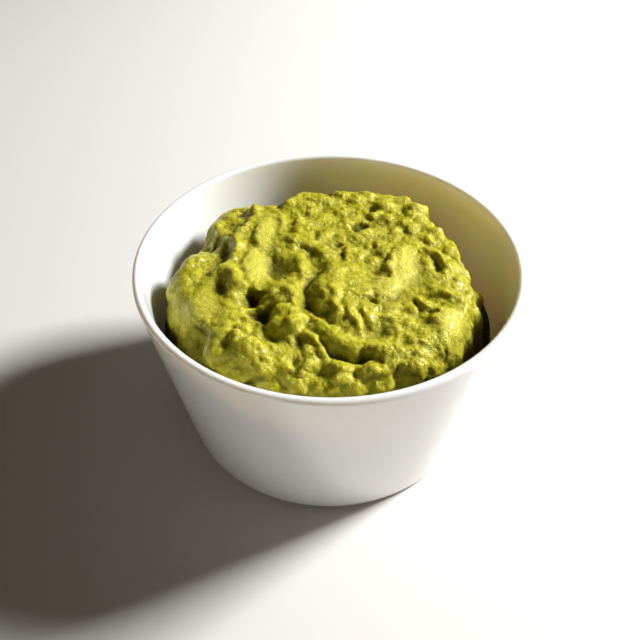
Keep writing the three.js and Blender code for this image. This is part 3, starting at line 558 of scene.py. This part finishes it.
def relief(x, y):
    # rise over the smooth dome; x and y are measured along its surface
    wx = x.copy()
    wy = y.copy()
    for size, reach, seed in wander:
        wx += reach * noise(x / size, y / size, seed)
        wy += reach * noise(x / size, y / size, seed + 2)
    out = np.zeros_like(x)
    for size, rise, seed in swell:
        out += rise * noise(x / size, y / size, seed)
    addBroadForms(out, wx, wy)
    still = np.zeros_like(x)
    for *oval, share in calm:
        still = np.maximum(still, share * held(wx, wy, oval, "smear"))
    bumps = mashLumps(wx / mash["size"], wy / mash["size"]) - mash["middle"]
    out += raisedForms(wx, wy) + mash["rise"] * bumps * (1 - still)
    drawn = np.zeros_like(x)
    for *oval, lift, riseX, riseY in smears:
        hold = held(wx, wy, oval, "smear")
        dx = x - oval[0]
        dy = y - oval[1]
        along, across = turned(dx, dy, oval[4])
        streak = noise(across / streaks["across"], along / streaks["along"], streaks["seed"])
        plane = lift + riseX * dx + riseY * dy + streaks["rise"] * streak
        out += (plane - out) * runOut["smearHold"] * hold
        drawn = np.maximum(drawn, hold)
    return out, np.maximum(still, drawn), drawn


def contactHeight(turn):
    # height at which the mash leaves the wall
    z = heapShape["contact"] - heapShape["contactTilt"] * np.cos(turn - math.radians(heapShape["tiltTurn"]))
    for height, count, phase in heapShape["contactWaves"]:
        z = z + height * np.sin(count * turn + phase)
    return z


def sideShrink(turn):
    # radius of the steep side, as a share of the wall's
    shrink = heapShape["shrink"]
    for middle, width, depth in heapShape["sideDents"]:
        off = np.arccos(np.clip(np.cos(turn - math.radians(middle)), -1, 1))
        shrink = shrink - depth * ease(1 - off / math.radians(width))
    return shrink


def domeHeight(r, low, shrink):
    share = r / (shrink * innerRadius(low))
    return low + (heapShape["crown"] - low) * np.maximum(0, 1 - share ** heapShape["squareness"])


def ringRadii(rings, samples=2001):
    # radii that cut the mean dome into rings of equal width along its slope
    r = np.linspace(0, innerRadius(heapShape["contact"]), samples)
    z = domeHeight(r, heapShape["contact"], heapShape["shrink"])
    lengths = np.append(0, np.cumsum(np.hypot(np.diff(r), np.diff(z))))
    unrolled = np.linspace(0, lengths[-1], rings + 1)
    return np.interp(unrolled, lengths, r) / r[-1], unrolled


def pull(points):
    x = points[:, 0].copy()
    y = points[:, 1].copy()
    for path, width, way in pulls:
        line = smoothLine(path)
        here = nearPath(x, y, line, width)
        distance, side, ends = pathDistance(x[here], y[here], line)
        pulled = ends * cap((distance / width) ** 2, runOut["pullPower"])
        points[here] += pulled[:, None] * np.array(way)


def ringFaces(first):
    # triangles between rings of 1, 6, 12, 18 and so on points; first holds where each ring starts
    faces = []
    for k in range(1, len(first)):
        inside = first[k - 1]
        outside = first[k]
        around = 6 * k
        for sector in range(6):
            for j in range(k):
                o = sector * k + j
                i = (sector * (k - 1) + j) % max(1, 6 * (k - 1))
                faces.append((inside + i, outside + o, outside + (o + 1) % around))
                if j < k - 1:
                    after = (sector * (k - 1) + j + 1) % (6 * (k - 1))
                    faces.append((inside + i, outside + (o + 1) % around, inside + after))
    return np.array(faces)


def heapTop():
    rings = heapShape["rings"]
    share, unrolled = ringRadii(rings)
    count = np.array([1] + [6 * k for k in range(1, rings + 1)])
    ring = np.repeat(np.arange(rings + 1), count)
    first = np.cumsum(count) - count
    turn = (np.arange(len(ring)) - first[ring]) * 2 * math.pi / count[ring]
    low = contactHeight(turn)
    wall = innerRadius(low)
    shrink = sideShrink(turn)
    foot = heapShape["shrink"]
    narrow = shrink / foot
    away = share[ring]
    r = wall * np.where(away < foot, away * narrow, 1 - (1 - away) * (1 - shrink) / (1 - foot))
    along = unrolled[ring] * narrow
    step = heapShape["slopeStep"]
    slope = np.arctan2(domeHeight(r - step, low, shrink) - domeHeight(r + step, low, shrink), 2 * step)
    slope[0] = 0
    c = np.cos(turn)
    s = np.sin(turn)
    rise, smeared, drawn = relief(along * c, along * s)
    fade = ease((wall - r) / heapShape["fadeWidth"])
    rise *= heapShape["fadeFloor"] + (1 - heapShape["fadeFloor"]) * fade
    z = domeHeight(r, low, shrink) + rise * np.cos(slope * fade)
    r = r + rise * np.sin(slope) * fade
    points = np.stack([r * c, r * s, z], 1)
    pull(points)
    return points, ringFaces(first), first[rings], smeared, drawn, fade


def pointNormals(points, faces):
    a, b, c = (points[faces[:, k]] for k in range(3))
    across = np.cross(b - a, c - a)
    total = np.stack([
        sum(np.bincount(faces[:, k], across[:, axis], len(points)) for k in range(3)) for axis in range(3)
    ], 1)
    return total / np.linalg.norm(total, axis=1)[:, None]


class Neighbours:
    # means over the points that share an edge with each point
    def __init__(self, faces, size):
        self.pairs = np.concatenate([faces[:, [0, 1]], faces[:, [1, 2]], faces[:, [2, 0]]])
        self.count = np.bincount(self.pairs[:, 0], minlength=size)

    def mean(self, values):
        return np.bincount(self.pairs[:, 0], values[self.pairs[:, 1]], len(values)) / self.count

    def middle(self, points):
        return np.stack([self.mean(points[:, axis]) for axis in range(3)], 1)


# The thin crests over the left flank are rounded off more, from this x on and fully after so many mm.
flank = {"from": -29.5, "over": 4.0, "share": 0.5, "passes": 24}


def roundOff(points, near, edge, share, passes):
    # each point goes its share of the way to the middle of its neighbours; the rim stays
    for turn in range(passes):
        points[:edge] += (share * (near.middle(points) - points))[:edge]


def evenOut(points, faces, near, edge):
    # the same along the surface only, so that steep places get their share of points
    for turn in range(heapShape["evenPasses"]):
        move = near.middle(points) - points
        normals = pointNormals(points, faces)
        move -= normals * (move * normals).sum(1)[:, None]
        points[:edge] += heapShape["evenShare"] * move[:edge]


# Painted shade for the mash's colour, in mm: by a place's depth below what is around it, below a level, or
# by its steepness.
shade = {
    "level": 57.0,
    "rate": 0.35,            # mm of shade for each mm below the level
    "slope": 0.55,           # upward part of the normal at which steepness starts to count
    "steepRate": 4.0,
}


def findShadeDepth(points, faces, near):
    height = points[:, 2]
    around = height
    for turn in range(heapShape["levelPasses"]):
        around = near.mean(around)
    low = (shade["level"] - height) * shade["rate"]
    steep = (shade["slope"] - pointNormals(points, faces)[:, 2]) * shade["steepRate"]
    return np.maximum.reduce([around - height, low, steep])


def keepInside(points):
    # nothing passes through the bowl's wall
    r = np.hypot(points[:, 0], points[:, 1])
    most = innerRadius(points[:, 2]) - heapShape["gap"]
    scale = np.minimum(1, most / np.maximum(r, 1))     # r is 0 in the middle
    points[:, :2] *= scale[:, None]


def addBelow(top, faces, edge):
    # side and bottom, hidden in the bowl
    gap = heapShape["gap"]
    around = len(top) - edge
    turn = np.arange(around) * 2 * math.pi / around
    low = contactHeight(turn) - heapShape["sideDepth"]
    r = innerRadius(low) - gap
    rows = [top, np.stack([r * np.cos(turn), r * np.sin(turn), low], 1)]
    for radius, z in fillet(gap, heapShape["filletSteps"]):
        rows.append(np.stack([radius * np.cos(turn), radius * np.sin(turn), np.full(around, z)], 1))
    middle = sum(len(row) for row in rows)
    rows.append(np.array([[0, 0, bowlShape["floor"] + gap]]))
    k = np.arange(around)
    n = (k + 1) % around
    faces = [faces]
    above = edge
    below = len(top)
    for row in rows[1:-1]:
        faces.append(np.stack([above + k, below + k, above + n], 1))
        faces.append(np.stack([above + n, below + k, below + n], 1))
        above = below
        below += around
    faces.append(np.stack([above + k, np.full(around, middle), above + n], 1))
    return np.concatenate(rows), np.concatenate(faces)


def makeHeap():
    points, faces, edge, smeared, drawn, fade = heapTop()
    print("relief worked out:", len(points), "points")
    near = Neighbours(faces, len(points))
    roundOff(points, near, edge, heapShape["roundShare"], heapShape["roundPasses"])
    inFlank = np.clip((flank["from"] - points[:, :1]) / flank["over"], 0, 1)
    roundOff(points, near, edge, flank["share"] * inFlank, flank["passes"])
    evenOut(points, faces, near, edge)
    # how much shade is painted into the colour at each point; it also makes the place rougher
    shadeDepth = findShadeDepth(points, faces, near)
    # Lump height, 0 in the creases; the colour uses it to darken the creases between lumps, painted shade.
    lumpy = np.zeros(len(points))
    for size, rise, seed, flatten in fineLumps:
        normals = pointNormals(points, faces)
        height = roundLumps(points, size, seed)
        lumpy += rise * height
        height = (height - lumpCells["middle"]) * (1 - flatten * smeared)
        points = points + normals * (rise * height * fade)[:, None]
    lumpy /= sum(rise for size, rise, seed, flatten in fineLumps)
    for size, rise, seed, flatten in fineTears:
        normals = pointNormals(points, faces)
        height = noise3(points, size, seed)
        points = points + normals * (rise * height * (1 - flatten * smeared) * fade)[:, None]
    keepInside(points)
    allPoints, allFaces = addBelow(points, faces, edge)
    heap = makeMesh("guacamoleMash", allPoints, allFaces.tolist())
    for name, known in (("lumpy", lumpy), ("shadeDepth", shadeDepth), ("drawn", drawn)):
        value = np.zeros(len(allPoints), np.float32)
        value[:len(known)] = known
        heap.data.attributes.new(name, "FLOAT", "POINT").data.foreach_set("value", value)
    return heap


heapPiece = makeHeap()
print("guacamole made:", len(heapPiece.data.polygons), "triangles")


class Wire:
    # a node's output that can stand in an expression
    def __init__(self, graph, socket):
        self.graph = graph
        self.socket = socket

    def __add__(self, other):
        return self.graph.maths("ADD", self, other)

    def __sub__(self, other):
        return self.graph.maths("SUBTRACT", self, other)

    def __rsub__(self, other):
        return self.graph.maths("SUBTRACT", other, self)

    def __mul__(self, other):
        return self.graph.maths("MULTIPLY", self, other)

    __radd__ = __add__
    __rmul__ = __mul__


class Graph:
    def __init__(self, name):
        self.material = bpy.data.materials.new(name)
        self.material.use_nodes = True
        self.tree = self.material.node_tree
        self.tree.nodes.clear()

    def node(self, kind, settings, inputs, output=0):
        made = self.tree.nodes.new(kind)
        for key, value in settings.items():
            setattr(made, key, value)
        for key, value in inputs.items():
            if isinstance(value, Wire):
                self.tree.links.new(value.socket, made.inputs[key])
            else:
                made.inputs[key].default_value = value
        if made.outputs:
            return Wire(self, made.outputs[output])

    def maths(self, operation, a, b):
        return self.node("ShaderNodeMath", {"operation": operation}, {0: a, 1: b})

    def mixColour(self, share, a, b):
        a, b = (c if isinstance(c, Wire) else (*c, 1) for c in (a, b))
        return self.node("ShaderNodeMix", {"data_type": "RGBA"}, {0: share, 6: a, 7: b}, 2)

    def remap(self, value, low, high, start=0.0, end=1.0):
        inputs = {"Value": value, "From Min": low, "From Max": high, "To Min": start, "To Max": end}
        return self.node("ShaderNodeMapRange", {"interpolation_type": "SMOOTHSTEP"}, inputs)

    def noise(self, place, scale, detail=2.0, roughness=0.5, distortion=0.0):
        inputs = {"Vector": place, "Scale": scale, "Detail": detail, "Roughness": roughness,
                  "Distortion": distortion}
        return self.node("ShaderNodeTexNoise", {}, inputs)

    def bump(self, height, depth, under=None):
        inputs = {"Strength": 1.0, "Distance": depth, "Height": height}
        if under is not None:
            inputs["Normal"] = under
        return self.node("ShaderNodeBump", {}, inputs)

    def attribute(self, name):
        return self.node("ShaderNodeAttribute", {"attribute_name": name}, {}, "Fac")

    def finish(self, inputs):
        shader = self.node("ShaderNodeBsdfPrincipled", {}, inputs)
        self.node("ShaderNodeOutputMaterial", {}, {"Surface": shader})
        return self.material


glaze = {
    "colour": (0.86, 0.85, 0.83),
    "clay": (0.78, 0.75, 0.69),      # bare ring under the foot
    "bareHeight": (0.0001, 0.0006),  # metres, over which the bare ring ends
    "clouds": 30.0,                  # per metre, as all scales here
    "cloudShare": 0.05,
    "roughness": 0.24,
    "bareRoughness": 0.4,            # added on the bare ring
    "smudges": 90.0,
    "smudgeRoughness": 0.03,
    "waves": 55.0,
    "waveDepth": 0.00002,
    "coat": 0.6,
    "coatRoughness": 0.12,
    "depth": 0.45,                   # weight of the light that goes under the surface
    "reach": (0.005, 0.0036, 0.0022),
    "bend": 1.5,                     # index of refraction
}


def glazeMaterial():
    g = Graph("whiteGlaze")
    look = glaze
    place = g.node("ShaderNodeTexCoord", {}, {}, "Object")
    height = g.node("ShaderNodeSeparateXYZ", {}, {"Vector": place}, "Z")
    bare = 1 - g.remap(height, *look["bareHeight"])
    cloud = g.noise(place, look["clouds"], 3.0)
    colour = g.mixColour(cloud * look["cloudShare"], look["colour"], look["clay"])
    colour = g.mixColour(bare, colour, look["clay"])
    smudge = g.noise(place, look["smudges"])
    waves = g.noise(place, look["waves"])
    return g.finish({
        "Base Color": colour,
        "Roughness": look["roughness"] + bare * look["bareRoughness"] + smudge * look["smudgeRoughness"],
        "Coat Weight": (1 - bare) * look["coat"],
        "Coat Roughness": look["coatRoughness"],
        "Subsurface Weight": look["depth"],
        "Subsurface Radius": look["reach"],
        "Subsurface Scale": 1.0,
        "IOR": look["bend"],
        "Normal": g.bump(waves, look["waveDepth"]),
    })


mashLook = {
    "shadow": (0.045, 0.04, 0.001),
    "deep": (0.22, 0.205, 0.004),
    "green": (0.42, 0.39, 0.018),
    "pale": (0.60, 0.55, 0.07),
    "fleck": (0.72, 0.68, 0.20),
    "glintColour": (0.96, 0.94, 0.60),       # painted glints: tiny pale dots in the colour
    "sheen": (1.0, 0.92, 0.35, 1),   # tint of the gloss
    "broad": 110.0,                  # per metre, as all scales here
    "middle": 420.0,
    "grain": 900.0,
    "grainDepth": 0.00035,
    "pulp": 1900.0,
    "pulpDepth": 0.00026,
    # how much each pattern counts towards the tone
    "lumpTone": 0.7,
    "broadTone": 0.5,
    "middleTone": 0.5,
    "toneStart": 0.35,
    "broadPale": 0.6,
    "drawnGlint": 0.25,
    # over which range of a pattern each colour comes in, and its largest share
    "greenRange": (0.05, 0.6),
    "paleRange": (0.75, 1.15),
    "fleckRange": (0.62, 0.75, 0.0, 0.6),
    "drawnSheen": 0.55,
    "glintRange": (0.60, 0.68),
    "glintPatch": (0.42, 0.62),
    "glintShare": 0.4,
    "shadowRange": (-0.4, 3.6),      # mm of shade
    "dullRange": (0.0, 1.6),         # mm of shade over which the gloss goes
    "dullRoughness": 0.4,
    "roughness": (0.35, 0.65, 0.3, 0.16),   # range of the broad pattern, and roughness at its two ends
    "coatPatchRange": (0.45, 0.6),
    "coat": 0.25,
    "coatRoughness": 0.12,
    "coatBend": 1.4,
    "depth": 0.8,                    # weight of the light that goes under the surface
    "reach": (0.0022, 0.0019, 0.0005),
    "bend": 1.42,                    # index of refraction
    "gloss": 0.5,
}


def mashMaterial():
    g = Graph("avocadoMash")
    look = mashLook
    place = g.node("ShaderNodeTexCoord", {}, {}, "Object")
    lumpy = g.attribute("lumpy")
    shadeDepth = g.attribute("shadeDepth")
    drawn = g.attribute("drawn")
    broad = g.noise(place, look["broad"], 3.0, 0.6)
    middle = g.noise(place, look["middle"], 3.0, 0.6, 0.4)
    grain = g.noise(place, look["grain"], 3.0, 0.65)
    pulp = g.noise(place, look["pulp"], 2.0, 0.6)
    # Tone from random patterns and from the fine lumps' height: the lump height part is painted shade in
    # the creases, the rest is random tone.
    tone = lumpy * look["lumpTone"] + broad * look["broadTone"] + middle * look["middleTone"]
    tone = tone - look["toneStart"]
    paler = middle + broad * look["broadPale"]
    # where the painted glints gather: on lighter broad patches and on the drawn places
    brighter = broad + drawn * look["drawnGlint"]
    colour = g.mixColour(g.remap(tone, *look["greenRange"]), look["deep"], look["green"])
    colour = g.mixColour(g.remap(paler, *look["paleRange"]), colour, look["pale"])
    colour = g.mixColour(g.remap(grain, *look["fleckRange"]), colour, look["fleck"])
    # Painted sheen: the spoon-drawn places are painted paler, standing in for their shine.
    colour = g.mixColour(drawn * look["drawnSheen"], colour, look["pale"])
    # Painted glints: tiny pale dots mixed into the colour, standing in for wet sparkles.
    glints = g.remap(pulp, *look["glintRange"]) * g.remap(brighter, *look["glintPatch"])
    colour = g.mixColour(glints * look["glintShare"], colour, look["glintColour"])
    # Painted shade: hollows, places low by the wall and steep sides are coloured darker, towards the shadow
    # colour.
    colour = g.mixColour(g.remap(shadeDepth, *look["shadowRange"]), colour, look["shadow"])
    dull = g.remap(shadeDepth, *look["dullRange"])
    return g.finish({
        "Base Color": colour,
        "Roughness": g.remap(broad, *look["roughness"]) + dull * look["dullRoughness"],
        "Subsurface Weight": look["depth"],
        "Subsurface Radius": look["reach"],
        "Subsurface Scale": 1.0,
        "IOR": look["bend"],
        "Specular IOR Level": look["gloss"],
        "Specular Tint": look["sheen"],
        "Coat Weight": g.remap(middle, *look["coatPatchRange"]) * (1 - dull) * look["coat"],
        "Coat Roughness": look["coatRoughness"],
        "Coat IOR": look["coatBend"],
        "Normal": g.bump(pulp, look["pulpDepth"], g.bump(grain, look["grainDepth"])),
    })


def addMaterial(piece, material):
    piece.data.materials.clear()
    piece.data.materials.append(material)


addMaterial(bowlPiece, glazeMaterial())
addMaterial(heapPiece, mashMaterial())
print("materials made")

for piece, node in ((bowlPiece, "bowl"), (heapPiece, "guacamole")):
    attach(piece, "root")
    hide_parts(node)


stage = {
    "floorHalf": 3.0,                # metres
    "floorColour": (0.72, 0.70, 0.67),
    "floorCloud": (0.6, 0.58, 0.55),
    "clouds": 6.0,                   # per metre
    "cloudShare": 0.1,
    "floorRoughness": 0.75,
    "skyStrength": 0.06,
    "skyColour": (1.0, 0.84, 0.6),
}


def makeFloor():
    half = stage["floorHalf"] / mm
    floor = makeMesh("floor", [(-half, -half, 0), (half, -half, 0), (half, half, 0), (-half, half, 0)],
                     [(0, 1, 2, 3)], False)
    g = Graph("paleFloor")
    place = g.node("ShaderNodeTexCoord", {}, {}, "Object")
    cloud = g.noise(place, stage["clouds"], 3.0) * stage["cloudShare"]
    colour = g.mixColour(cloud, stage["floorColour"], stage["floorCloud"])
    addMaterial(floor, g.finish({"Base Color": colour, "Roughness": stage["floorRoughness"]}))


def aim(thing, toward):
    thing.rotation_mode = "QUATERNION"
    thing.rotation_quaternion = Vector(toward).to_track_quat("-Z", "Y")


# name: azimuth and elevation as seen from the bowl in degrees, distance and size in metres, power in W
softboxes = {
    "key": (22, 37, 1.2, 0.26, 31.0),
    "front": (240, 7, 1.2, 0.28, 1.3),
}


def makeLight(name, azimuth, elevation, distance, size, power):
    light = bpy.data.lights.new(name, "AREA")
    light.size = size
    light.energy = power
    lamp = bpy.data.objects.new(name, light)
    bpy.context.scene.collection.objects.link(lamp)
    a = math.radians(azimuth)
    e = math.radians(elevation)
    away = Vector((math.cos(a) * math.cos(e), math.sin(a) * math.cos(e), math.sin(e)))
    lamp.location = away * distance
    aim(lamp, -away)


def makeSky():
    world = bpy.data.worlds.new("sky")
    world.use_nodes = True
    background = world.node_tree.nodes["Background"]
    background.inputs["Strength"].default_value = stage["skyStrength"]
    background.inputs["Color"].default_value = (*stage["skyColour"], 1)
    bpy.context.scene.world = world


view = {
    "lens": 45.0,            # both in Blender's camera mm
    "sensor": 36.0,
    "elevation": 42.84,      # degrees above the table
    "distance": 264.1,       # to the aim, in mm, as the aim is
    "aimX": -2.9,
    "aimZ": 37.0,
}


def makeCamera():
    data = bpy.data.cameras.new("camera")
    data.sensor_width = view["sensor"]
    data.lens = view["lens"]
    camera = bpy.data.objects.new("camera", data)
    bpy.context.scene.collection.objects.link(camera)
    e = math.radians(view["elevation"])
    ahead = Vector((0, math.cos(e), -math.sin(e)))
    camera.location = (Vector((view["aimX"], 0, view["aimZ"])) - ahead * view["distance"]) * mm
    aim(camera, ahead)
    bpy.context.scene.camera = camera


makeFloor()
for name, values in softboxes.items():
    makeLight(name, *values)
makeSky()
makeCamera()
bpy.context.scene.view_settings.view_transform = "Standard"
print("floor, lights and camera made")
